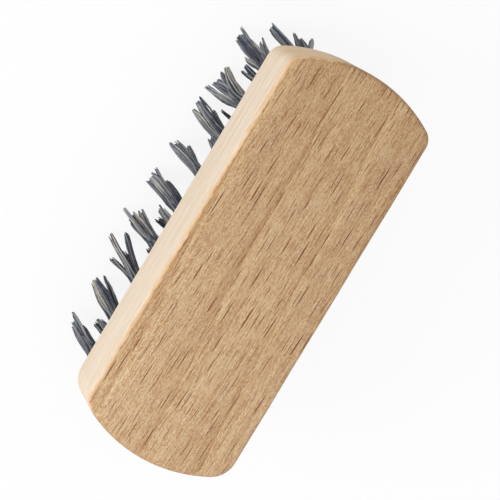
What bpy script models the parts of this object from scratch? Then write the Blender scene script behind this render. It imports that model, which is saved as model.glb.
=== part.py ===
"""A wooden cleaning brush: one beech block with drilled holes, and a bristle tuft stapled into each.

Metres, +Z up. The brush stands on its bristle tips at z = 0 with the flat back of the block on top.
+X is the long way of the block. The origin is the middle of the bristle field, at the tips.
"""

import math
import random

import bmesh
import bpy
from mathutils import Matrix, Vector

# Block
block_length = 0.100
block_width = 0.038
block_thickness = 0.019
end_bow = 0.0056
corner_radius_left = 0.0062
corner_radius_right = 0.0039
arris_radius = 0.0010
end_arc_steps = 10
corner_arc_steps = 4
arris_steps = 2
arris_angle = math.radians(60)
shading_angle = math.radians(40)
flat_angle = math.radians(1)

# Tuft field: five staggered rows, the second and fourth with one tuft more
bristle_length = 0.026
row_count = 5
tufts_in_long_row = 10
end_inset = 0.0065
side_inset = 0.0045
side_lean = 0.0046
tip_sweep = 0.0032

# Drilled holes
hole_diameter = 0.0042
hole_depth = 0.011
drill_point_angle = math.radians(118)
hole_sides = 8
mouth_overrun = 0.002

# Points of one mesh nearer than this are one point
weld_distance = 0.000005

# Folded root of a tuft, packed into its hole
seat_gap = 0.0003
root_recess = 0.0005
root_taper = 0.0003

# Flat wire anchor across the fold, biting into the wood at both ends
anchor_thickness = 0.0004
anchor_height = 0.0022
anchor_bite = 0.0006
anchor_rise = 0.0015

# Strands of a tuft: one in the middle and a ring round it
ring_strands = 6
strand_sides = 3
strand_root_radius = 0.00042
strand_middle_radius = 0.00070
strand_tip_radius = 0.00058
ring_root_radius = 0.00115
ring_tip_radius = 0.0027
strand_embed = 0.0005
trim_depth = 0.0005
trim_overrun = 0.001
ring_scatter_share = 0.10
turn_scatter = math.radians(4)
middle_share = 0.5
spread_power = 1.3
sweep_power = 1.2
bristle_seed = 7

# Materials
beech_color = (0.62, 0.44, 0.28)
beech_roughness = 0.6
bristle_color = (0.045, 0.05, 0.065)
bristle_roughness = 0.35

# Worked out from the sizes above
face_z = bristle_length
hole_radius = hole_diameter / 2
root_radius = hole_radius - seat_gap
root_bottom = hole_depth - seat_gap
anchor_low = root_bottom - anchor_rise - anchor_height
pitch = (block_length - 2 * end_inset) / (tufts_in_long_row - 1)
row_spacing = (block_width - 2 * side_inset) / (row_count - 1)


def clear_scene():
    for obj in list(bpy.data.objects):
        bpy.data.objects.remove(obj, do_unlink=True)


def new_collection(name):
    collection = bpy.data.collections.new(name)
    bpy.context.scene.collection.children.link(collection)
    return collection


def new_material(name, color, roughness):
    material = bpy.data.materials.new(name)
    material.use_nodes = True
    shader = material.node_tree.nodes["Principled BSDF"]
    shader.inputs["Base Color"].default_value = (*color, 1)
    shader.inputs["Roughness"].default_value = roughness
    material.diffuse_color = (*color, 1)
    return material


def new_object(name, data, collection, matrix=None):
    obj = bpy.data.objects.new(name, data)
    collection.objects.link(obj)
    if matrix is not None:
        obj.matrix_world = matrix
    return obj


def guide(name, data, collection, matrix=None):
    """An object that only cuts or joins another one."""
    obj = new_object(name, data, collection, matrix)
    obj.hide_render = True
    obj.display_type = "WIRE"
    return obj


def evaluated_mesh(obj):
    """The mesh that an object shows with its curve shape and modifiers applied."""
    graph = bpy.context.evaluated_depsgraph_get()
    return bpy.data.meshes.new_from_object(obj.evaluated_get(graph))


def boolean(obj, name, operation, operand):
    modifier = obj.modifiers.new(name, "BOOLEAN")
    modifier.operation = operation
    modifier.solver = "EXACT"
    if isinstance(operand, bpy.types.Collection):
        modifier.operand_type = "COLLECTION"
        modifier.collection = operand
    else:
        modifier.object = operand
    return modifier


def arc(center, radius, start, end, steps):
    points = []
    for i in range(steps + 1):
        angle = start + (end - start) * i / steps
        points.append((center[0] + radius * math.cos(angle), center[1] + radius * math.sin(angle)))
    return points


def end_outline(corner_radius):
    """The +X end of the block, from its near side to its far side: corner, bowed end, corner."""
    half_width = block_width / 2
    bow_radius = (half_width ** 2 + end_bow ** 2) / (2 * end_bow)
    bow_x = block_length / 2 - bow_radius
    corner_y = half_width - corner_radius
    corner_x = bow_x + math.sqrt((bow_radius - corner_radius) ** 2 - corner_y ** 2)
    turn = math.atan2(corner_y, corner_x - bow_x)
    quarter = math.pi / 2
    near = arc((corner_x, -corner_y), corner_radius, -quarter, -turn, corner_arc_steps)
    bow = arc((bow_x, 0), bow_radius, -turn, turn, end_arc_steps)
    far = arc((corner_x, corner_y), corner_radius, turn, quarter, corner_arc_steps)
    return near + bow[1:-1] + far


def block_outline():
    right = end_outline(corner_radius_right)
    left = [(-x, -y) for x, y in end_outline(corner_radius_left)]
    return right + left


def tuft_places():
    """The row, the place in it and the mouth's x and y of each hole, row by row from -Y."""
    places = []
    for row in range(row_count):
        count = tufts_in_long_row if row % 2 else tufts_in_long_row - 1
        y = (row - (row_count - 1) / 2) * row_spacing
        for i in range(count):
            x = (i - (count - 1) / 2) * pitch
            places.append((row, i, x, y))
    return places


def hole_tilt(y):
    """Rows away from the middle are drilled at a slant, so that their tips stand wider."""
    outer_row = block_width / 2 - side_inset
    return math.atan(side_lean / bristle_length * y / outer_row)


def tuft_matrix(x, y):
    """A frame at a hole's mouth, its +Z up the hole."""
    return Matrix.Translation((x, y, face_z)) @ Matrix.Rotation(hole_tilt(y), 4, "X")


def round_place(height):
    """Half way up a round piece, turned so that a flat faces each end of the anchor."""
    return Matrix.Translation((0, 0, height)) @ Matrix.Rotation(math.pi / hole_sides, 4, "Z")


def drill_mesh(cutters):
    """The hole with its drill point, and the seats that the anchor's ends cut in its wall."""
    point = hole_radius / math.tan(drill_point_angle / 2)
    straight = hole_depth + mouth_overrun
    bm = bmesh.new()
    bmesh.ops.create_cone(
        bm, cap_ends=True, segments=hole_sides, radius1=hole_radius, radius2=hole_radius,
        depth=straight, matrix=round_place(straight / 2 - mouth_overrun),
    )
    top = max(bm.faces, key=lambda face: face.calc_center_median().z)
    poked = bmesh.ops.poke(bm, faces=[top])
    poked["verts"][0].co.z += point
    mesh = bpy.data.meshes.new("drill")
    bm.to_mesh(mesh)
    bm.free()

    drill = guide("drill", mesh, cutters)
    seat = guide("anchor_seat", anchor_mesh("anchor_seat", hole_radius, seat_gap), cutters)
    boolean(drill, "anchor seats", "UNION", seat)
    result = evaluated_mesh(drill)
    result.name = "drilled_hole"
    bpy.data.objects.remove(drill)
    bpy.data.objects.remove(seat)
    return result


def anchor_mesh(name, radius, clearance):
    """The flat wire across a hole of this radius, grown by a clearance on every side."""
    size = (
        anchor_thickness + 2 * clearance,
        2 * (radius + anchor_bite + clearance),
        anchor_height + 2 * clearance,
    )
    bm = bmesh.new()
    place = Matrix.Translation((0, 0, anchor_low + anchor_height / 2))
    bmesh.ops.create_cube(bm, size=1, matrix=place @ Matrix.Diagonal((*size, 1)))
    mesh = bpy.data.meshes.new(name)
    bm.to_mesh(mesh)
    bm.free()
    return mesh


def root_mesh(cutters):
    """The folded root in the hole, with the anchor through it."""
    bm = bmesh.new()
    depth = root_bottom - root_recess
    bmesh.ops.create_cone(
        bm, cap_ends=True, segments=hole_sides, radius1=root_radius, radius2=root_radius - root_taper,
        depth=depth, matrix=round_place(root_recess + depth / 2),
    )
    mesh = bpy.data.meshes.new("root")
    bm.to_mesh(mesh)
    bm.free()

    root = guide("root", mesh, cutters)
    anchor = guide("anchor", anchor_mesh("anchor", hole_radius, 0), cutters)
    boolean(root, "anchor", "UNION", anchor)
    result = evaluated_mesh(root)
    result.name = "folded_root"
    bpy.data.objects.remove(root)
    bpy.data.objects.remove(anchor)
    return result


def strand_profile(cutters):
    """The section of a strand: a closed curve with few sides and a radius of 1."""
    data = bpy.data.curves.new("strand_section", "CURVE")
    data.dimensions = "2D"
    spline = data.splines.new("POLY")
    spline.points.add(strand_sides - 1)
    for i, point in enumerate(spline.points):
        angle = 2 * math.pi * i / strand_sides
        point.co = (math.cos(angle), math.sin(angle), 0, 1)
    spline.use_cyclic_u = True
    return guide("strand_section", data, cutters)


def strand_offsets(chance):
    """Where each strand leaves the root, in shares of the ring's radius."""
    offsets = [(0, 0)]
    turn = chance.uniform(0, math.pi / 3)
    for i in range(ring_strands):
        angle = turn + 2 * math.pi * i / ring_strands + chance.uniform(-turn_scatter, turn_scatter)
        radius = 1 - chance.uniform(0, ring_scatter_share)
        offsets.append((radius * math.cos(angle), radius * math.sin(angle)))
    return offsets


def strands_mesh(row, place, matrix, section, cutters):
    """The loose length of one tuft: spread from its root, swept to +X and trimmed level at z = 0.

    The rows on the +Y side mirror those on the -Y side.
    """
    mirror_row = min(row, row_count - 1 - row)
    side = -1 if row > mirror_row else 1
    chance = random.Random(bristle_seed + mirror_row * tufts_in_long_row + place)
    reach = bristle_length / matrix[2][2] + trim_depth + trim_overrun

    data = bpy.data.curves.new("strands", "CURVE")
    data.dimensions = "3D"
    data.bevel_mode = "OBJECT"
    data.bevel_object = section
    data.use_fill_caps = True
    for x, y in strand_offsets(chance):
        spline = data.splines.new("POLY")
        spline.points.add(2)
        steps = (
            (0, root_recess + strand_embed, strand_root_radius),
            (middle_share, -reach * middle_share, strand_middle_radius),
            (1, -reach, strand_tip_radius),
        )
        for point, (share, height, radius) in zip(spline.points, steps):
            spread = ring_root_radius + (ring_tip_radius - ring_root_radius) * share ** spread_power
            sweep = tip_sweep * share ** sweep_power
            point.co = (x * spread + sweep, side * y * spread, height, 1)
            point.radius = radius
    curve = guide("strands", data, cutters)
    mesh = evaluated_mesh(curve)
    bpy.data.objects.remove(curve)

    floor = matrix.inverted()
    bm = bmesh.new()
    bm.from_mesh(mesh)
    bmesh.ops.remove_doubles(bm, verts=bm.verts, dist=weld_distance)
    bmesh.ops.bisect_plane(
        bm, geom=bm.verts[:] + bm.edges[:] + bm.faces[:], plane_co=floor.translation,
        plane_no=floor.to_3x3() @ Vector((0, 0, 1)), clear_inner=True,
    )
    bmesh.ops.holes_fill(bm, edges=[edge for edge in bm.edges if edge.is_boundary], sides=0)
    bmesh.ops.recalc_face_normals(bm, faces=bm.faces)
    bm.to_mesh(mesh)
    bm.free()
    return mesh


def make_block(parts, holes, material):
    data = bpy.data.curves.new("block_outline", "CURVE")
    data.dimensions = "2D"
    data.fill_mode = "BOTH"
    data.extrude = block_thickness / 2
    points = block_outline()
    spline = data.splines.new("POLY")
    spline.points.add(len(points) - 1)
    for point, (x, y) in zip(spline.points, points):
        point.co = (x, y, 0, 1)
    spline.use_cyclic_u = True
    outline = new_object("block_outline", data, parts)
    mesh = evaluated_mesh(outline)
    bpy.data.objects.remove(outline)

    bm = bmesh.new()
    bm.from_mesh(mesh)
    bmesh.ops.remove_doubles(bm, verts=bm.verts, dist=weld_distance)
    bmesh.ops.dissolve_limit(bm, angle_limit=flat_angle, verts=bm.verts, edges=bm.edges)
    bmesh.ops.recalc_face_normals(bm, faces=bm.faces)
    bm.to_mesh(mesh)
    bm.free()
    mesh.shade_smooth()
    mesh.set_sharp_from_angle(angle=shading_angle)

    block = new_object("brush_block", mesh, parts, Matrix.Translation((0, 0, face_z + block_thickness / 2)))
    block.data.materials.clear()
    block.data.materials.append(material)
    arris = block.modifiers.new("arris", "BEVEL")
    arris.width = arris_radius
    arris.segments = arris_steps
    arris.limit_method = "ANGLE"
    arris.angle_limit = arris_angle
    boolean(block, "tuft holes", "DIFFERENCE", holes)
    return block


def make_tuft(name, row, place, matrix, root, section, parts, cutters, material):
    tuft = new_object(name, root.copy(), parts, matrix)
    tuft.data.name = name
    tuft.data.materials.clear()
    tuft.data.materials.append(material)
    mesh = strands_mesh(row, place, matrix, section, cutters)
    strands = guide(name + "_strands", mesh, cutters, matrix)
    boolean(tuft, "strands", "UNION", strands)
    return tuft


def main():
    clear_scene()
    parts = new_collection("cleaning_brush")
    cutters = new_collection("cutters")
    holes = bpy.data.collections.new("tuft_holes")
    cutters.children.link(holes)
    beech = new_material("beech", beech_color, beech_roughness)
    bristle = new_material("bristle", bristle_color, bristle_roughness)

    base = new_object("cleaning_brush", None, parts)
    base.empty_display_size = block_width
    pieces = [make_block(parts, holes, beech)]

    drill = drill_mesh(cutters)
    root = root_mesh(cutters)
    section = strand_profile(cutters)
    for row, place, x, y in tuft_places():
        matrix = tuft_matrix(x, y)
        name = f"tuft_row{row + 1}_{place + 1:02d}"
        guide(name + "_hole", drill, holes, matrix)
        pieces.append(make_tuft(name, row, place, matrix, root, section, parts, cutters, bristle))
    bpy.data.objects.remove(section)
    for piece in pieces:
        piece.parent = base


main()
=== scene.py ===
"""A small beech hand brush seen from above its flat back, standing on its bristle tips.

Metres, +Z up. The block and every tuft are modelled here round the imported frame.
"""

import math
import random
from collections import namedtuple

import bmesh
import bpy
from mathutils import Matrix, Quaternion, Vector, noise


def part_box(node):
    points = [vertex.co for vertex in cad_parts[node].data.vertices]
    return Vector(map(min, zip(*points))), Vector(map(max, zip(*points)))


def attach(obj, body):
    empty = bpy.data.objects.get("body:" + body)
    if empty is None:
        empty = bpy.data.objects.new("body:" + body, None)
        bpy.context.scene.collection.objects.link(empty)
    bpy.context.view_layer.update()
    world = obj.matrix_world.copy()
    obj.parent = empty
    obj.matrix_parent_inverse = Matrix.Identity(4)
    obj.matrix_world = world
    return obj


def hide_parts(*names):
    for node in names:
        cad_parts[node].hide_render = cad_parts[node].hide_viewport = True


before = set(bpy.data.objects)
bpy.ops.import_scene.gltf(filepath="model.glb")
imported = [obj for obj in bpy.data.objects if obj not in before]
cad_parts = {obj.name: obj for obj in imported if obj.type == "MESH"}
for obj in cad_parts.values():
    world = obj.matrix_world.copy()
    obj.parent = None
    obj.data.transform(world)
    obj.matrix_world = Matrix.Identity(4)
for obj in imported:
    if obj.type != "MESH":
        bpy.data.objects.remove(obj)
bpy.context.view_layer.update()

# Block, as in the frame
block_low, block_high = (Vector(corner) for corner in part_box("brush_block"))
face_z = block_low.z
back_z = block_high.z
half_length = (block_high.x - block_low.x) / 2
half_width = (block_high.y - block_low.y) / 2
end_bow = 0.0056
bow_radius = (half_width ** 2 + end_bow ** 2) / (2 * end_bow)
corner_radius_left = 0.0062
corner_radius_right = 0.0039
arris_radius = 0.0010
arris_wander_share = 0.22
arris_wander_length = 0.011
arris_steps = 6
bow_steps = 40
corner_steps = 14
side_steps = 60
block_sharp_angle = math.radians(50)

# Grain: its turn off the block's length, how it wanders, and the turn of the noise's own lattice
grain_turn = math.radians(1.6)
wander_size = (0.090, 0.014)
wander_reach = 0.0018
lattice_turn = (0, 0, 0.6)

# Layers of grain, each laid over those before it: the length and width of its features, its
# noise's offset and detail, the noise at which it begins and is full, its strength and its colour
Layer = namedtuple("Layer", "length width offset detail low high strength color")
back_ground = (192, 166, 129)
back_layers = {
    "tint": Layer(0.110, 0.0013, (6.4, 2.2, 0.4), 1, 0.44, 0.60, 0.30, (203, 182, 150)),
    "warmth": Layer(0.0060, 0.00045, (4, 1, 7), 1, 0.40, 0.62, 0.45, (208, 165, 108)),
    "streaks": Layer(0.050, 0.00045, (0, 5.3, 2.0), 1, 0.46, 0.64, 0.34, (182, 133, 80)),
    "fibres": Layer(0.0105, 0.00024, (7, 0, 1), 0, 0.40, 0.64, 0.64, (160, 105, 54)),
    "dashes": Layer(0.0034, 0.00019, (1, 9, 4), 0, 0.42, 0.66, 0.46, (228, 208, 170)),
    "speckle": Layer(0.00034, 0.00024, (3, 3, 3), 1, 0.48, 0.64, 0.50, (172, 116, 64)),
    "grit": Layer(0.0008, 0.00018, (5, 8, 2), 0, 0.46, 0.64, 0.48, (226, 208, 172)),
}
side_ground = (218, 195, 167)
side_layers = {
    "lines": Layer(0.034, 0.00026, (4, 2, 8), 1, 0.34, 0.66, 1.00, (233, 221, 204)),
    "wisps": Layer(0.0040, 0.00026, (1, 6, 2), 0, 0.46, 0.70, 0.35, (210, 184, 156)),
    "warm": Layer(0.040, 0.0011, (8, 3, 6), 1, 0.54, 0.74, 0.40, (218, 184, 144)),
}

# Flecks: the cell that each has to itself, along and across, its own usual length and width, the
# share of cells that have one, the cells' offset, its strength and its colour. Its size and tone are
# each the least and what chance adds at most.
Flecks = namedtuple("Flecks", "along across length width presence offset strength color")
fine_flecks = Flecks(
    0.0040, 0.00062, 0.0038, 0.00022, 0.70, (2.2, 0.3, 5.5), 0.68, (142, 78, 36)
)
bold_flecks = Flecks(
    0.0085, 0.0014, 0.0085, 0.00038, 0.82, (0.5, 4.1, 1.3), 1.00, (98, 38, 16)
)
fleck_scatter = 0.78
fleck_size = (0.35, 0.75)
fleck_solid_share = 0.42
fleck_tone = (0.42, 0.58)

# Growth rings cut at a slant on the back, and what each multiplies the colour by across its width
ring_width = 0.0133
ring_depth = 0.0036
ring_slope = 0.045
ring_offset = 0.0084
ring_fray = 0.0014
ring_fray_size = (0.030, 0.0050)
ring_fray_offset = (2, 6, 1)
ring_streak_fray = 0.0012
ring_stops = (
    (0.00, (0.79, 0.71, 0.64)),
    (0.05, (0.84, 0.78, 0.74)),
    (0.15, (0.885, 0.845, 0.830)),
    (0.50, (0.915, 0.889, 0.890)),
    (0.85, (0.95, 0.935, 0.94)),
    (0.95, (1, 1, 0.99)),
)

# Broad changes over the back: wood bands, painted shade as the key light falls off toward +X, and
# painted light along the +Y rim that it falls on. For each, where it begins and is full, and what it
# multiplies the colour by
band_size = (0.200, 0.0030)
band_offset = (3.1, 1.7, 0.4)
band_span, band_factor = (0.44, 0.60), (0.92, 0.885, 0.865)
light_falloff_span, light_falloff_factor = (-0.045, 0.055), (0.88, 0.85, 0.81)
lit_rim_span, lit_rim_factor = (0.0135, 0.0160), (1.07, 1.09, 1.09)

# End grain: arcs about a heart beside and below the block, with fine pores
heart_aside = 0.022
heart_below = 0.050
arc_width = 0.0011
arc_waves = 30
arc_span = (0.36, 0.64)
arc_dark = (213, 180, 140)
arc_pale = (234, 207, 170)
pore_size = (0.004, 0.00030)
pore_span = (0.52, 0.70)
pore_strength = 0.35
pore_color = (180, 142, 104)

# Edges of the back. The walls' wood runs over them, further on the long side that the key light falls
# on,
# +Y, which is also nearer the camera, where the key-lit share is 1, and more still within a few mm of
# that side:
# painted light, the pale wood standing in for the lit edge. It blushes there, darker away from the
# key light as painted shade, and a brown line follows just inside it, whose strengths are each the
# least and what is added at most.
outline_blend = 0.0012
up_span = (0.10, 0.45)
end_span = (0.72, 0.93)
right_end_span = (0.15, 0.75)
key_lit_slope = 0.23
key_lit_span = (0.50, 0.76)
key_lit_reach = 0.00045
lit_side_inset = (0.0040, 0.0012)
lit_side_reach = 0.00036
edge_wobble = 0.0014
edge_wobble_size = (0.0024, 0.0009)
edge_wobble_offset = (2, 7, 3)
edge_fade = 0.00022
end_painted_shade = (0.80, 0.70, 0.60)
blush_width = 0.0009
blush_strength = 0.90
blush_shaded = (160, 112, 76)
blush_lit = (212, 172, 126)
line_width = 0.0008
line_color = (172, 124, 78)
line_patch_size = (0.006, 0.006)
line_patch_offset = (9, 1, 4)
line_patch_span = (0.35, 0.60)
line_patch_strength = (0.35, 0.55)
line_lit_strength = (0.25, 0.20)

# Wood's surface: its relief, and its roughness as its least and what the fibres add
fibre_relief = 0.2
fine_fleck_relief = -0.5
bold_fleck_relief = -1.2
relief_depth = 0.00012
relief_strength = 0.35
wood_roughness = (0.50, 0.16)
wood_specular = 0.30

# Bristles' colour by tone, their painted shade up toward the block, and their surface
bristle_stops = (
    (0.14, (3, 9, 25)),
    (0.34, (46, 54, 74)),
    (0.56, (116, 120, 127)),
    (0.76, (160, 159, 158)),
    (0.96, (208, 190, 162)),
)
tone_share = 0.75
patch_share = 0.35
patch_size = (0.0011, 0.0011, 0.006)
bristle_level = 0.94
shaded_span = (0.004, 0.019)
shaded_strength = 0.33
cool_factor = (0.95, 1.0, 1.05)
warm_factor = (1.05, 1.0, 0.93)
warm_span = (0.003, 0.013)
bristle_roughness = 0.42
bristle_specular = 0.45

# Holes
rows = 5
tufts_in_long_row = 10
end_inset = 0.0065
side_inset = 0.0045
side_lean = 0.0046
tip_sweep = 0.0032
tip_sweep_power = 1.2
hole_radius = 0.0021
hole_depth = 0.011
hole_sides = 28
mouth_overrun = 0.002

# Bristles. Shares of their length run from the block's underside at 0 to the tips' plane at 1. A span
# is the stretch over which something comes in.
bristle_seed = 41
seed_step_per_row = 100
filaments_per_tuft = 90
filament_radius = 0.00023
filament_tip_share = 0.50
filament_sides = 5
filament_stations = 12
filament_sharp_angle = math.radians(75)
root_scatter = 0.2
packed_radius = 0.00186
root_inside = 0.0035
loosening = 0.25
filament_wave = 0.00005
wave_turns = (0.5, 1.2)
lowest_tip = 0.0002
short_by_chance = 0.015
short_at_rim = 0.015
ragged_length = 0.14
ragged_across = (1.5, 0.6)
ragged_level = 7.7
gather_span = (0.02, 0.50)
drift_span = (0.2, 0.7)
fork_span = (0.66, 1.0)
taper_span = (0.88, 1.0)
tone_middle = 0.51
tone_spread = 0.23

# Clumps that bristles cling together in. Places in a clump are shares of its half width.
clump_stand_power = 1.1
clump_turn = 0.4
clump_flatness = (0.42, 0.60)
clump_tone = 0.12
clump_bow = 0.00060
clump_drift = 0.00042
drift_across = 0.9
drift_along = 3.2
drift_apart = Vector((31.7, 17.3, 43.1))
streak_tone = 0.62
streaks_across = 1.9
# Painted light: bristles round a clump's edge are lighter and those in its middle darker, changing
# over at this level
painted_rim_light = 0.24
rim_level = 0.40
noise_reach = 90
fewest_bristles = 5

# Forks at a clump's end: how many, how far each stands out, how much shorter it is, how it spreads
fork_counts = (1, 2, 2, 3)
fork_least_radius = 0.7
fork_stand = 0.60
fork_short = (0, 0.05)
fork_spread = (1.0, 1.35)
fork_width = 0.62

# Clumps by chance, for the tufts that don't show: in mm, as below
clump_counts = (3, 3, 4)
clump_scatter = 0.2
clump_stand = (1.2, 2.4)
clump_radius = (1.1, 1.5)
clump_reach = (0.94, 1.0)
crowded_share = 0.85

# Clumps of the tufts that show, by row and place from 1: where each one's tip stands off the tuft's
# own line, in mm along and across, how far down it reaches as a share, and half its width in mm
clump_unit = 0.001
shown_clumps = {
    (5, 1): ((-0.5, 0.8, 0.94, 1.57), (1.5, 2.8, 0.99, 0.62), (-0.6, -0.6, 0.93, 0.75)),
    (5, 2): ((0.7, 1.5, 0.98, 1.60), (2.7, 0.0, 1.00, 0.62), (-0.2, -1.4, 0.96, 0.95)),
    (5, 3): ((2.5, 4.1, 0.99, 0.95), (5.0, 1.1, 0.99, 0.78),
             (-2.5, 1.2, 0.98, 0.56), (1.8, 1.0, 0.82, 1.23)),
    (5, 4): ((-0.8, 2.7, 0.93, 1.51), (-0.1, 4.3, 0.99, 0.50),
             (1.7, 1.1, 0.99, 0.78), (-0.2, -1.2, 0.93, 1.12)),
    (5, 5): ((-0.3, 3.0, 0.99, 1.68), (2.1, 2.5, 1.00, 0.50), (0.6, -0.2, 0.93, 1.23)),
    (5, 6): ((-0.2, 2.6, 0.98, 1.25), (1.3, -1.2, 0.98, 0.70), (-0.7, -1.0, 0.93, 0.95)),
    (5, 7): ((0.4, 2.3, 0.99, 1.50), (3.0, 3.0, 1.00, 0.50), (0.9, -2.1, 0.97, 1.01)),
    (5, 8): ((-4.2, 3.0, 0.98, 0.70), (-2.1, 1.5, 0.98, 1.23),
             (1.2, 0.3, 1.00, 1.40), (0.0, -1.2, 0.92, 1.01)),
    (5, 9): ((0.4, 1.8, 0.98, 1.68), (2.6, 2.7, 1.00, 0.62),
             (-2.7, -2.6, 0.98, 1.06), (2.4, -3.5, 0.99, 1.00)),
    (4, 2): ((-2.9, 6.0, 0.99, 1.29), (1.2, 0.4, 0.97, 1.23), (-0.6, -1.4, 0.97, 1.23)),
    (4, 4): ((-1.0, 4.0, 0.99, 0.78), (1.0, 0.8, 0.97, 1.34), (-0.8, -1.0, 0.97, 1.23)),
    (4, 5): ((-0.8, 6.6, 0.99, 1.15), (-3.4, 5.4, 0.99, 0.95), (0.6, -0.6, 0.97, 1.06)),
    (4, 7): ((0.4, 5.0, 0.99, 1.23), (1.4, -0.4, 0.97, 1.23), (-1.2, -1.0, 0.97, 1.12)),
    (4, 8): ((-2.4, 5.6, 0.99, 0.50), (0.8, 1.0, 0.97, 1.34), (-0.4, -1.4, 0.97, 1.23)),
    (4, 9): ((-0.6, 6.4, 0.99, 1.06), (1.4, 0.4, 0.97, 1.12), (-1.0, -1.2, 0.97, 1.12)),
    (4, 10): ((1.6, 6.1, 0.99, 1.12), (3.2, 0.4, 0.99, 0.62),
              (2.7, -1.9, 0.98, 0.95), (3.7, -4.7, 0.98, 1.00)),
    (3, 9): ((3.4, 2.0, 0.98, 1.23), (3.0, -2.2, 0.97, 1.23), (-0.8, 0.2, 0.97, 1.23)),
}

# Floor, lights as place, size and power, and the world's white
floor_radius = 4.0
floor_sides = 96
floor_tone = (0.86, 0.86, 0.86)
floor_glow_share = 0.88
light_aim = Vector((0, 0, 0.04))
lights = {
    "key": (Vector((-0.26, 0.46, 0.40)), 0.35, 1.9),
    "top": (Vector((-0.20, -0.06, 0.70)), 0.50, 1.2),
}
white = (1, 1, 1)
world_light = 0.66
world_seen_share = 0.87

# Camera
camera_aim = Vector((0.00287, 0.00419, 0.045))
camera_distance = 0.5382
camera_azimuth = math.radians(165.58)
camera_elevation = math.radians(73.18)
camera_roll = math.radians(134.87)
camera_lens = 174.56
camera_sensor = 36


def srgb(r, g, b):
    """A colour given as 0 to 255, as the shaders' linear values."""
    values = []
    for value in (r, g, b):
        share = value / 255
        values.append(share / 12.92 if share <= 0.04045 else ((share + 0.055) / 1.055) ** 2.4)
    return tuple(values)


def new_object(name, data):
    obj = bpy.data.objects.new(name, data)
    bpy.context.scene.collection.objects.link(obj)
    return obj


def mesh_from(bm, name):
    """The mesh of a BMesh, which is freed."""
    mesh = bpy.data.meshes.new(name)
    bm.to_mesh(mesh)
    bm.free()
    return mesh


class Nodes:
    """Short calls for a node tree: an input is a number, a tuple or another node's output."""

    def __init__(self, tree):
        self.tree = tree
        tree.nodes.clear()

    def add(self, kind, inputs=None, **settings):
        node = self.tree.nodes.new(kind)
        for key, value in settings.items():
            setattr(node, key, value)
        for key, value in (inputs or {}).items():
            self.set(node.inputs[key], value)
        return node

    def set(self, socket, value):
        if isinstance(value, bpy.types.NodeSocket):
            self.tree.links.new(value, socket)
        elif socket.type == "RGBA" and len(value) == 3:
            socket.default_value = (*value, 1)
        else:
            socket.default_value = value

    def math(self, operation, *values):
        return self.add("ShaderNodeMath", dict(enumerate(values)), operation=operation).outputs[0]

    def ranged(self, share, start, gain):
        """The start at share 0, and more by the gain at share 1."""
        return self.math("ADD", start, self.math("MULTIPLY", share, gain))

    def smooth(self, value, low, high):
        """0 below low, 1 above high, eased between."""
        inputs = {"Value": value, "From Min": low, "From Max": high}
        return self.add("ShaderNodeMapRange", inputs, interpolation_type="SMOOTHSTEP").outputs[0]

    def vector(self, operation, *values):
        inputs = dict(enumerate(values))
        outputs = self.add("ShaderNodeVectorMath", inputs, operation=operation).outputs
        return outputs["Value" if operation == "LENGTH" else "Vector"]

    def split(self, vector):
        return tuple(self.add("ShaderNodeSeparateXYZ", {0: vector}).outputs)

    def joined(self, x, y, z=0):
        return self.add("ShaderNodeCombineXYZ", {0: x, 1: y, 2: z}).outputs[0]

    def mix(self, share, a, b, blend="MIX"):
        inputs = {0: share, 6: a, 7: b}
        node = self.add("ShaderNodeMix", data_type="RGBA", blend_type=blend)
        for key, value in inputs.items():
            self.set(node.inputs[key], value)
        return node.outputs[2]

    def times(self, color, factor):
        return self.mix(1.0, color, factor, "MULTIPLY")

    def scaled(self, vector, scale, offset=(0, 0, 0)):
        inputs = {"Vector": vector, "Location": offset, "Scale": scale}
        return self.add("ShaderNodeMapping", inputs).outputs[0]

    def noise(self, vector, detail, output="Fac", dimensions="3D"):
        inputs = {"Vector": vector, "Scale": 1.0, "Detail": detail}
        return self.add("ShaderNodeTexNoise", inputs, noise_dimensions=dimensions).outputs[output]

    def grain(self, place, along, across, offset, detail=1):
        """Noise drawn out along the grain, with its lattice turned so that no rows of it show."""
        scale = per_size(along, across)
        inputs = {"Vector": place, "Location": offset, "Rotation": lattice_turn, "Scale": scale}
        turned = self.add("ShaderNodeMapping", inputs).outputs[0]
        return self.noise(turned, detail, dimensions="2D")

    def ramp(self, share, stops):
        """A colour by share, between stops of (share, colour)."""
        node = self.add("ShaderNodeValToRGB", {"Fac": share})
        elements = node.color_ramp.elements
        for element, (position, color) in zip(elements, (stops[0], stops[-1])):
            element.position = position
            element.color = (*color, 1)
        for position, color in stops[1:-1]:
            elements.new(position).color = (*color, 1)
        return node.outputs[0]

    def surface(self, color, roughness, specular, **inputs):
        """A Principled surface, put out."""
        shader = self.add("ShaderNodeBsdfPrincipled", {
            "Base Color": color, "Roughness": roughness, "Specular IOR Level": specular, **inputs,
        })
        self.add("ShaderNodeOutputMaterial", {"Surface": shader.outputs[0]})


def new_material(name):
    """A material with an empty node tree, and the short calls for that tree."""
    material = bpy.data.materials.new(name)
    material.use_nodes = True
    return material, Nodes(material.node_tree)


def per_size(along, across, upward=None):
    """A texture scale that gives features of this length along the grain and width across it."""
    return (1 / along, 1 / across, 1 / (upward or across))


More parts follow.
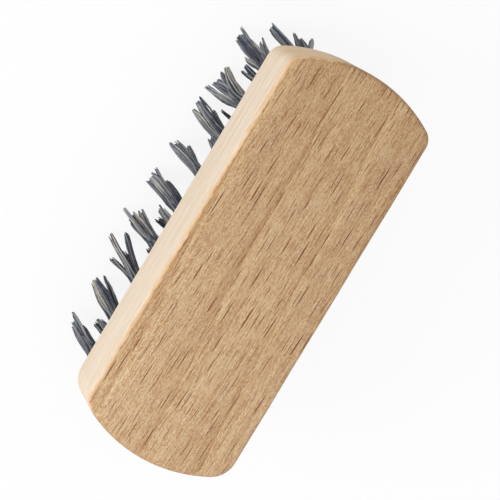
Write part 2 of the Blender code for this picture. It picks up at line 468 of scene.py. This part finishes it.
def flecks(n, place, kind):
    """Short dark lenses along the grain, one to a cell, of which a share is filled."""
    cell = n.scaled(place, per_size(kind.along, kind.across), kind.offset)
    inputs = {"Vector": cell, "Scale": 1.0, "Randomness": fleck_scatter}
    voronoi = n.add("ShaderNodeTexVoronoi", inputs, voronoi_dimensions="2D")
    chance = n.add("ShaderNodeSeparateColor", {"Color": voronoi.outputs["Color"]}).outputs
    size = (2 * kind.along / kind.length, 2 * kind.across / kind.width, 0)
    apart = n.vector("MULTIPLY", n.vector("SUBTRACT", cell, voronoi.outputs["Position"]), size)
    radius = n.ranged(chance[1], *fleck_size)
    solid = n.math("MULTIPLY", radius, fleck_solid_share)
    lens = n.math("SUBTRACT", 1.0, n.smooth(n.vector("LENGTH", apart), solid, radius))
    filled = n.math("LESS_THAN", chance[0], kind.presence)
    return n.math("MULTIPLY", n.math("MULTIPLY", lens, filled), n.ranged(chance[2], *fleck_tone))


def layered(n, place, ground, layers):
    """A ground colour with layers of grain over it, and the noise of each layer by name."""
    color = srgb(*ground)
    noises = {}
    for name, layer in layers.items():
        noises[name] = n.grain(place, layer.length, layer.width, layer.offset, layer.detail)
        shown = n.smooth(noises[name], layer.low, layer.high)
        color = n.mix(n.math("MULTIPLY", shown, layer.strength), color, srgb(*layer.color))
    return color, noises


def grain_place(n, raw):
    """The place in the grain, which runs a little off the block's length and wanders across it."""
    wander = n.noise(n.scaled(raw, per_size(*wander_size)), detail=1, output="Color")
    centered = n.vector("SUBTRACT", wander, (0.5, 0.5, 0.5))
    push = n.vector("MULTIPLY", centered, (0, wander_reach, wander_reach))
    place = n.vector("ADD", raw, push)
    return n.add("ShaderNodeMapping", {"Vector": place, "Rotation": (0, 0, grain_turn)}).outputs[0]


def growth_rings(n, raw, streaks):
    """Growth rings cut at a slant: each grows paler up to the brown edge of the next."""
    along, across, height = n.split(raw)
    frayed = n.math("MULTIPLY", n.grain(raw, *ring_fray_size, ring_fray_offset), ring_fray)
    frayed = n.math("ADD", frayed, n.math("MULTIPLY", streaks, ring_streak_fray))
    slanted = n.math("SUBTRACT", across, n.math("MULTIPLY", along, ring_slope))
    ring = n.math("ADD", n.math("ADD", slanted, frayed), ring_offset)
    ring = n.math("MULTIPLY", ring, 1 / ring_width)
    deep = n.math("MULTIPLY", n.math("SUBTRACT", height, back_z), 1 / ring_depth)
    return n.ramp(n.math("FRACT", n.math("ADD", ring, deep)), ring_stops)


def back_wood(n, raw, place):
    """The back's colour, the roughness and the relief that its grain gives."""
    along, across, _ = n.split(raw)
    color, noises = layered(n, place, back_ground, back_layers)
    color = n.times(color, growth_rings(n, raw, noises["streaks"]))
    bands = n.grain(place, *band_size, band_offset)
    color = n.mix(n.smooth(bands, *band_span), color, n.times(color, band_factor))
    fine, bold = (flecks(n, place, kind) for kind in (fine_flecks, bold_flecks))
    for marks, kind in ((fine, fine_flecks), (bold, bold_flecks)):
        color = n.mix(n.math("MULTIPLY", marks, kind.strength), color, srgb(*kind.color))
    relief = n.math("MULTIPLY", noises["fibres"], fibre_relief)
    for marks, height in ((bold, bold_fleck_relief), (fine, fine_fleck_relief)):
        relief = n.math("ADD", relief, n.math("MULTIPLY", marks, height))
    # Painted shade: the back darkens toward +X, away from the key light
    color = n.mix(n.smooth(along, *light_falloff_span), color, n.times(color, light_falloff_factor))
    # Painted light: the back is paler along its +Y rim, nearest the key light
    color = n.mix(n.smooth(across, *lit_rim_span), color, n.times(color, lit_rim_factor))
    return color, n.ranged(noises["fibres"], *wood_roughness), relief


def side_wood(n, place):
    """The long sides have lines only, which run on round the corners."""
    along, _, height = n.split(place)
    return layered(n, n.joined(along, height), side_ground, side_layers)[0]


def end_wood(n, raw, place):
    """Growth rings cut across, as arcs about a heart below the block, with fine pores."""
    _, across, height = n.split(place)
    aside = n.math("ADD", across, heart_aside)
    radius = n.vector("LENGTH", n.joined(0, aside, n.math("ADD", height, heart_below)))
    radius = n.math("MULTIPLY", radius, 1 / arc_width)
    arcs = n.noise(n.joined(radius, n.math("MULTIPLY", aside, arc_waves)), detail=2)
    arcs = n.smooth(arcs, *arc_span)
    color = n.mix(arcs, srgb(*arc_dark), srgb(*arc_pale))
    pores = n.smooth(n.noise(n.scaled(raw, per_size(*pore_size)), detail=2), *pore_span)
    return n.mix(n.math("MULTIPLY", pores, pore_strength), color, srgb(*pore_color))


def margin(n, raw):
    """How far a point lies inside the block's outline, seen from above."""
    along, across, _ = n.split(raw)
    long_side = n.math("SUBTRACT", half_width, n.math("ABSOLUTE", across))
    reach = n.math("ADD", n.math("ABSOLUTE", along), bow_radius - half_length)
    end = n.math("SUBTRACT", bow_radius, n.vector("LENGTH", n.joined(reach, across)))
    return n.math("SMOOTH_MIN", long_side, end, outline_blend)


def key_lit_share(n, raw):
    """1 on the key-lit long side, +Y, nearer the camera, the sooner toward its +X end, 0 elsewhere:
    for painted light and shade.
    """
    along, across, _ = n.split(raw)
    across = n.math("MULTIPLY", across, 1 / half_width)
    along = n.math("MULTIPLY", along, key_lit_slope / half_length)
    return n.smooth(n.math("ADD", across, along), *key_lit_span)


def beech_material():
    """Bare beech: tan with brown flecks on the back, pale on the sides, in between on the ends."""
    material, n = new_material("beech")
    coordinates = n.add("ShaderNodeTexCoord")
    raw = coordinates.outputs["Object"]
    facing = n.split(coordinates.outputs["Normal"])
    place = grain_place(n, raw)
    back, roughness, relief = back_wood(n, raw, place)
    # Painted light and shade: the edges are painted paler on the side the key light falls on, and
    # darker away from it
    key_lit = key_lit_share(n, raw)

    # The walls are side or end grain by where they face
    end = end_wood(n, raw, place)
    # Painted shade: the end grain is darker away from the side the key light falls on
    end = n.mix(key_lit, n.times(end, end_painted_shade), end)
    at_end = n.smooth(n.math("ABSOLUTE", facing[0]), *end_span)
    at_end = n.math("MAXIMUM", at_end, n.smooth(facing[0], *right_end_span))
    walls = n.mix(at_end, side_wood(n, place), end)

    # They run over the rounded edge, further on the key-lit side as painted light, and redden there,
    # darker away from the key light as painted shade, and stop at a ragged line
    up = n.smooth(n.math("ABSOLUTE", facing[2]), *up_span)
    lit_side = n.smooth(n.split(raw)[1], *(half_width - inset for inset in lit_side_inset))
    ragged = n.noise(n.scaled(raw, per_size(*edge_wobble_size), edge_wobble_offset), detail=3)
    wobble = n.math("MULTIPLY", n.math("SUBTRACT", ragged, 0.5), edge_wobble)
    inside = n.math("ADD", margin(n, raw), wobble)
    lit_side = n.math("MULTIPLY", lit_side, lit_side_reach)
    start = n.math("ADD", n.math("MULTIPLY", key_lit, key_lit_reach), lit_side)
    stop = n.math("ADD", start, edge_fade)
    blush = n.smooth(inside, n.math("SUBTRACT", start, blush_width), start)
    blush = n.math("MULTIPLY", n.math("MULTIPLY", blush, up), blush_strength)
    # Painted shade: the reddened band is darker away from the key light and paler on the side it
    # falls on
    walls = n.mix(blush, walls, n.mix(key_lit, srgb(*blush_shaded), srgb(*blush_lit)))

    # A darker line follows just inside it, in patches
    patches = n.noise(n.scaled(raw, per_size(*line_patch_size), line_patch_offset), detail=1)
    patches = n.ranged(n.smooth(patches, *line_patch_span), *line_patch_strength)
    line = n.math("SUBTRACT", 1.0, n.smooth(inside, stop, n.math("ADD", stop, line_width)))
    line = n.math("MULTIPLY", line, patches)
    line = n.math("MULTIPLY", line, n.ranged(key_lit, *line_lit_strength))
    back = n.mix(line, back, srgb(*line_color))

    color = n.mix(n.math("MULTIPLY", n.smooth(inside, start, stop), up), walls, back)
    bump = {"Height": relief, "Strength": relief_strength, "Distance": relief_depth}
    normal = n.add("ShaderNodeBump", bump).outputs[0]
    n.surface(color, roughness, wood_specular, Normal=normal)
    return material


def bristle_material():
    """Stiff dark bristle: blue-black to slate, with a few taupe hairs and a satin gloss."""
    material, n = new_material("bristle")
    tone = n.add("ShaderNodeAttribute", attribute_name="tone").outputs["Fac"]
    place = n.add("ShaderNodeTexCoord").outputs["Object"]
    height = n.split(place)[2]
    patches = n.noise(n.scaled(place, per_size(*patch_size)), detail=1)
    patches = n.math("MULTIPLY", patches, patch_share)
    mixed = n.math("ADD", n.math("MULTIPLY", tone, tone_share), patches)
    # Painted shade: the bristles darken up toward the block, where little light reaches in among the
    # tufts
    shaded = n.math("MULTIPLY", n.smooth(height, *shaded_span), shaded_strength)
    mixed = n.math("MULTIPLY", mixed, n.math("SUBTRACT", bristle_level, shaded))
    color = n.ramp(mixed, [(share, srgb(*color)) for share, color in bristle_stops])
    warm = n.smooth(height, *warm_span)
    color = n.mix(warm, n.times(color, cool_factor), n.times(color, warm_factor))
    n.surface(color, bristle_roughness, bristle_specular)
    return material


def floor_material():
    """Pale floor: nearly white seen directly, with its soft shadow kept, and clear from below."""
    material, n = new_material("floor")
    path = n.add("ShaderNodeLightPath").outputs
    diffuse = n.add("ShaderNodeBsdfDiffuse", {"Color": floor_tone}).outputs[0]
    glow = n.add("ShaderNodeEmission", {"Color": white, "Strength": 1.0}).outputs[0]
    share = n.math("MULTIPLY", path["Is Camera Ray"], floor_glow_share)
    above = n.add("ShaderNodeMixShader", {0: share, 1: diffuse, 2: glow}).outputs[0]
    below = n.add("ShaderNodeNewGeometry").outputs["Backfacing"]
    clear = n.add("ShaderNodeBsdfTransparent").outputs[0]
    shader = n.add("ShaderNodeMixShader", {0: below, 1: above, 2: clear})
    n.add("ShaderNodeOutputMaterial", {"Surface": shader.outputs[0]})
    return material


def arc(center, radius, start, end, steps):
    """Points of an arc with their outward normals."""
    points = []
    for i in range(steps + 1):
        angle = start + (end - start) * i / steps
        normal = Vector((math.cos(angle), math.sin(angle)))
        points.append((Vector(center) + radius * normal, normal))
    return points


def end_outline(corner_radius):
    """The +X end from its -Y side to its +Y side: corner, bowed end, corner."""
    bow_x = half_length - bow_radius
    corner_y = half_width - corner_radius
    corner_x = bow_x + math.sqrt((bow_radius - corner_radius) ** 2 - corner_y ** 2)
    turn = math.atan2(corner_y, corner_x - bow_x)
    quarter = math.pi / 2
    first = arc((corner_x, -corner_y), corner_radius, -quarter, -turn, corner_steps)
    bow = arc((bow_x, 0), bow_radius, -turn, turn, bow_steps)
    last = arc((corner_x, corner_y), corner_radius, turn, quarter, corner_steps)
    return first + bow[1:-1] + last


def block_outline():
    """The block's outline seen from above, as points with their outward normals."""
    right = end_outline(corner_radius_right)
    left = [(-point, -normal) for point, normal in end_outline(corner_radius_left)]
    points = []
    for end, start in ((right, left[0][0]), (left, right[0][0])):
        points += end
        last, normal = end[-1]
        for i in range(1, side_steps):
            points.append((last.lerp(start, i / side_steps), normal))
    return points


def make_block_mesh():
    """The block as rings up its sides: a hand-sanded arris of uneven radius below and above."""
    outline = block_outline()
    bm = bmesh.new()
    rings = []
    for top in (False, True):
        for i in range(arris_steps + 1):
            angle = math.pi / 2 * i / arris_steps
            ring = []
            for point, normal in outline:
                corner = Vector((*point, back_z if top else face_z))
                drift = noise.noise(corner / arris_wander_length)
                radius = arris_radius * (1 + arris_wander_share * drift)
                if top:
                    inset = radius * (1 - math.cos(angle))
                    z = back_z - radius * (1 - math.sin(angle))
                else:
                    inset = radius * (1 - math.sin(angle))
                    z = face_z + radius * (1 - math.cos(angle))
                spot = point - normal * inset
                ring.append(bm.verts.new((spot.x, spot.y, z)))
            rings.append(ring)
    for lower, upper in zip(rings, rings[1:]):
        for i in range(len(outline)):
            j = (i + 1) % len(outline)
            bm.faces.new((lower[i], lower[j], upper[j], upper[i]))
    bm.faces.new(list(reversed(rings[0])))
    bm.faces.new(rings[-1])
    bmesh.ops.recalc_face_normals(bm, faces=bm.faces)
    return mesh_from(bm, "brush_block_body")


def tuft_places():
    """The row, the place in it and the mouth's x and y of each hole, row by row from -Y."""
    pitch = 2 * (half_length - end_inset) / (tufts_in_long_row - 1)
    spacing = 2 * (half_width - side_inset) / (rows - 1)
    places = []
    for row in range(rows):
        count = tufts_in_long_row if row % 2 else tufts_in_long_row - 1
        for i in range(count):
            x = (i - (count - 1) / 2) * pitch
            y = (row - (rows - 1) / 2) * spacing
            places.append((row, i, x, y))
    return places


def outward(y):
    """How far the tips of a tuft rooted at y stand out from its hole."""
    return side_lean * y / (half_width - side_inset)


def cut_holes(block):
    """Drilled holes, slanted as the tufts are, cut from below."""
    bm = bmesh.new()
    depth = hole_depth + mouth_overrun
    middle = Matrix.Translation((0, 0, depth / 2 - mouth_overrun))
    for _, _, x, y in tuft_places():
        tilt = Matrix.Rotation(math.atan(outward(y) / face_z), 4, "X")
        bmesh.ops.create_cone(
            bm, cap_ends=True, segments=hole_sides, radius1=hole_radius, radius2=hole_radius,
            depth=depth, matrix=Matrix.Translation((x, y, face_z)) @ tilt @ middle,
        )
    cutter = new_object("holes", mesh_from(bm, "holes"))
    cut = block.modifiers.new("holes", "BOOLEAN")
    cut.object = cutter
    cut.solver = "EXACT"
    graph = bpy.context.evaluated_depsgraph_get()
    block.data = bpy.data.meshes.new_from_object(block.evaluated_get(graph))
    block.modifiers.clear()
    bpy.data.objects.remove(cutter)


def make_block(material):
    block = new_object("brush_block_beech", make_block_mesh())
    cut_holes(block)
    block.data.materials.clear()
    block.data.materials.append(material)
    block.data.shade_smooth()
    block.data.set_sharp_from_angle(angle=block_sharp_angle)
    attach(block, "root")
    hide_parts("brush_block")


def random_clumps(chance):
    """Three or four clumps round a tuft, as (x, y, reach, radius)."""
    count = chance.choice(clump_counts)
    turn = chance.uniform(0, 2 * math.pi)
    clumps = []
    for i in range(count):
        angle = turn + 2 * math.pi * (i + chance.uniform(-clump_scatter, clump_scatter)) / count
        stand = chance.uniform(*clump_stand)
        radius = chance.uniform(*clump_radius) * (1 if count == 3 else crowded_share)
        reach = chance.uniform(*clump_reach)
        clumps.append((stand * math.cos(angle), stand * math.sin(angle), reach, radius))
    return clumps


def packed_disc(count, chance):
    """Evenly spread points in a unit disc, each moved a little."""
    golden = math.pi * (3 - math.sqrt(5))
    points = []
    for i in range(count):
        radius = math.sqrt((i + 0.5) / count)
        angle = golden * i + chance.uniform(-root_scatter, root_scatter)
        points.append(Vector((radius * math.cos(angle), radius * math.sin(angle))))
    return points


def ease(share, low, high):
    """0 below low, 1 above high, eased between."""
    t = min(max((share - low) / (high - low), 0), 1)
    return t * t * (3 - 2 * t)


class Clump:
    """Bristles that cling together in a flat strip with an uneven, sometimes forked end.

    A spot is a bristle's place in the unit disc that is flattened into the strip.
    """

    def __init__(self, x, y, reach, radius, chance):
        self.tip = Vector((x, y)) * clump_unit
        self.reach = reach
        self.radius = radius * clump_unit
        self.flat_turn = chance.uniform(-clump_turn, clump_turn)
        self.flat = chance.uniform(*clump_flatness)
        self.tone = chance.uniform(-clump_tone, clump_tone)
        self.bow = Vector((chance.uniform(-1, 1), chance.uniform(-1, 1))) * clump_bow
        self.seed = Vector([chance.uniform(0, noise_reach) for _ in range(3)])
        self.forks = []
        turn = chance.uniform(0, 2 * math.pi)
        count = chance.choice(fork_counts) if radius > fork_least_radius else 1
        for i in range(count):
            angle = turn + 2 * math.pi * i / count
            middle = Vector((math.cos(angle), math.sin(angle))) * (fork_stand if count > 1 else 0)
            self.forks.append((middle, chance.uniform(*fork_short), chance.uniform(*fork_spread)))

    def place(self, spot):
        """Where a bristle runs in the flattened clump."""
        cos, sin = math.cos(self.flat_turn), math.sin(self.flat_turn)
        flat = Vector((spot.x * cos + spot.y * sin, (spot.y * cos - spot.x * sin) * self.flat))
        return Vector((flat.x * cos - flat.y * sin, flat.y * cos + flat.x * sin)) * self.radius

    def fork(self, spot):
        """The fork a bristle goes with: its middle, how much shorter it is, and its spread."""
        return min(self.forks, key=lambda fork: (fork[0] - spot).length)

    def drift(self, spot, s):
        """A slow wander down the bristles that neighbours share, for edges that are uneven."""
        at = self.seed + Vector((spot.x * drift_across, spot.y * drift_across, s * drift_along))
        return Vector((noise.noise(at), noise.noise(at + drift_apart))) * clump_drift

    def ragged(self, spot):
        """How much shorter neighbouring bristles are than the clump."""
        x, y = ragged_across
        at = self.seed + Vector((spot.x * x, spot.y * y, ragged_level))
        return ragged_length * max(noise.noise(at), 0)

    def bristle_tone(self, spot):
        """Neighbouring bristles are alike, so the strip has dark and light streaks along it."""
        at = self.seed + Vector((spot.x * streaks_across, spot.y * streaks_across, 0))
        # Painted light: a painted sheen on the bristles round the clump's edge, with painted shade in
        # its core
        rim = painted_rim_light * (spot.length_squared - rim_level)
        return self.tone + streak_tone * noise.noise(at) + rim


def filament_path(x, y, root, clump, spot, chance):
    """The middle line of one bristle, from inside its hole to its tip, as points and radii."""
    lean = outward(y)
    middle, short, spread = clump.fork(spot)
    end = clump.reach - short - clump.ragged(spot) - short_by_chance * chance.random() ** 2
    end -= short_at_rim * (spot - middle).length
    phase = chance.uniform(0, 2 * math.pi)
    turns = chance.uniform(*wave_turns)
    parted = middle * spread + (spot - middle) * fork_width
    start = -root_inside / face_z
    line = []
    for i in range(filament_stations):
        step = i / (filament_stations - 1)
        s = start + (end - start) * step
        out = max(s, 0)
        loose = root * packed_radius * (1 + loosening * out)
        cling = clump.place(spot.lerp(parted, ease(s, *fork_span)))
        cling += clump.drift(spot, s) * ease(s, *drift_span)
        held = clump.tip * out ** clump_stand_power + clump.bow * math.sin(math.pi * min(out, 1))
        offset = loose.lerp(held + cling, ease(s, *gather_span))
        wave = filament_wave * out * math.sin(phase + 2 * math.pi * turns * s)
        thin = 1 - (1 - filament_tip_share) * ease(step, *taper_span)
        line.append((
            x + tip_sweep * out ** tip_sweep_power + offset.x + wave,
            y + lean * s + offset.y - wave,
            max(face_z * (1 - s), lowest_tip),
            filament_radius * thin,
        ))
    return line


def tube_mesh(name, lines, tones):
    """All the bristles of a tuft in one mesh, each a closed tube with its own tone and turn."""
    verts, faces, shades = [], [], []
    sides = filament_sides
    for k, line in enumerate(lines):
        base = len(verts)
        for x, y, z, radius in line:
            for j in range(sides):
                angle = 2 * math.pi * j / sides + k
                verts.append((x + radius * math.cos(angle), y + radius * math.sin(angle), z))
        shades += [tones[k]] * (len(line) * sides)
        for i in range(len(line) - 1):
            for j in range(sides):
                a = base + i * sides + j
                b = base + i * sides + (j + 1) % sides
                faces.append((a, a + sides, b + sides, b))
        last = base + (len(line) - 1) * sides
        faces.append(tuple(base + j for j in range(sides)))
        faces.append(tuple(last + j for j in reversed(range(sides))))
    mesh = bpy.data.meshes.new(name)
    mesh.from_pydata(verts, [], faces)
    attribute = mesh.attributes.new("tone", "FLOAT", "POINT")
    attribute.data.foreach_set("value", shades)
    mesh.shade_smooth()
    mesh.set_sharp_from_angle(angle=filament_sharp_angle)
    return mesh


def share_out(total, clumps):
    """How many bristles each clump gets, by its section."""
    whole = sum(clump.radius ** 2 for clump in clumps)
    return [max(fewest_bristles, round(total * clump.radius ** 2 / whole)) for clump in clumps]


def make_tuft(row, place, x, y, material):
    """One tuft: each clump takes the roots on its own side, matched in order to its spots."""
    chance = random.Random(bristle_seed + seed_step_per_row * row + place)
    values = shown_clumps.get((row + 1, place + 1)) or random_clumps(chance)
    clumps = [Clump(*value, chance) for value in values]
    counts = share_out(filaments_per_tuft, clumps)
    free = packed_disc(sum(counts), chance)
    lines, tones = [], []
    for clump, count in zip(clumps, counts):
        way = clump.tip.normalized()
        across = Vector((-way.y, way.x))
        free.sort(key=lambda root: root.dot(way), reverse=True)
        group, free = free[:count], free[count:]
        spots = packed_disc(count, chance)
        for points in (group, spots):
            points.sort(key=lambda point: (round(point.dot(way), 1), point.dot(across)))
        for root, spot in zip(group, spots):
            lines.append(filament_path(x, y, root, clump, spot, chance))
            tone = chance.gauss(tone_middle, tone_spread) + clump.bristle_tone(spot)
            tones.append(min(max(tone, 0), 1))
    name = f"bristles_row{row + 1}_{place + 1:02d}"
    tuft = new_object(name, tube_mesh(name, lines, tones))
    tuft.data.materials.append(material)
    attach(tuft, "root")
    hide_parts(f"tuft_row{row + 1}_{place + 1:02d}")


def make_floor():
    bm = bmesh.new()
    bmesh.ops.create_circle(bm, cap_ends=True, segments=floor_sides, radius=floor_radius)
    floor = new_object("floor", mesh_from(bm, "floor"))
    floor.data.materials.append(floor_material())


def make_lights():
    for name, (place, size, power) in lights.items():
        data = bpy.data.lights.new(name, "AREA")
        data.shape = "DISK"
        data.size = size
        data.energy = power
        light = new_object(name, data)
        light.location = place
        light.rotation_euler = (light_aim - place).to_track_quat("-Z", "Y").to_euler()


def make_world():
    """White all round. It lights softly, and seen directly it is as pale as the floor."""
    world = bpy.data.worlds.new("studio")
    bpy.context.scene.world = world
    world.use_nodes = True
    n = Nodes(world.node_tree)
    path = n.add("ShaderNodeLightPath").outputs
    seen = n.math("MULTIPLY", path["Is Camera Ray"], world_seen_share)
    for kind in ("Is Glossy Ray", "Is Transmission Ray"):
        seen = n.math("MAXIMUM", seen, path[kind])
    strength = n.ranged(seen, world_light, 1 - world_light)
    background = n.add("ShaderNodeBackground", {"Color": white, "Strength": strength})
    n.add("ShaderNodeOutputWorld", {"Surface": background.outputs[0]})


def make_camera():
    data = bpy.data.cameras.new("camera")
    data.lens = camera_lens
    data.sensor_width = camera_sensor
    camera = new_object("camera", data)
    back = Vector((
        math.cos(camera_elevation) * math.sin(camera_azimuth),
        -math.cos(camera_elevation) * math.cos(camera_azimuth),
        math.sin(camera_elevation),
    ))
    level = (-back).to_track_quat("-Z", "Y")
    camera.rotation_mode = "QUATERNION"
    camera.rotation_quaternion = level @ Quaternion((0, 0, 1), camera_roll)
    camera.location = camera_aim + back * camera_distance
    bpy.context.scene.camera = camera


def main():
    make_block(beech_material())
    bristle = bristle_material()
    for row, place, x, y in tuft_places():
        make_tuft(row, place, x, y, bristle)
    make_floor()
    make_lights()
    make_world()
    make_camera()
    bpy.context.scene.view_settings.view_transform = "Standard"


main()
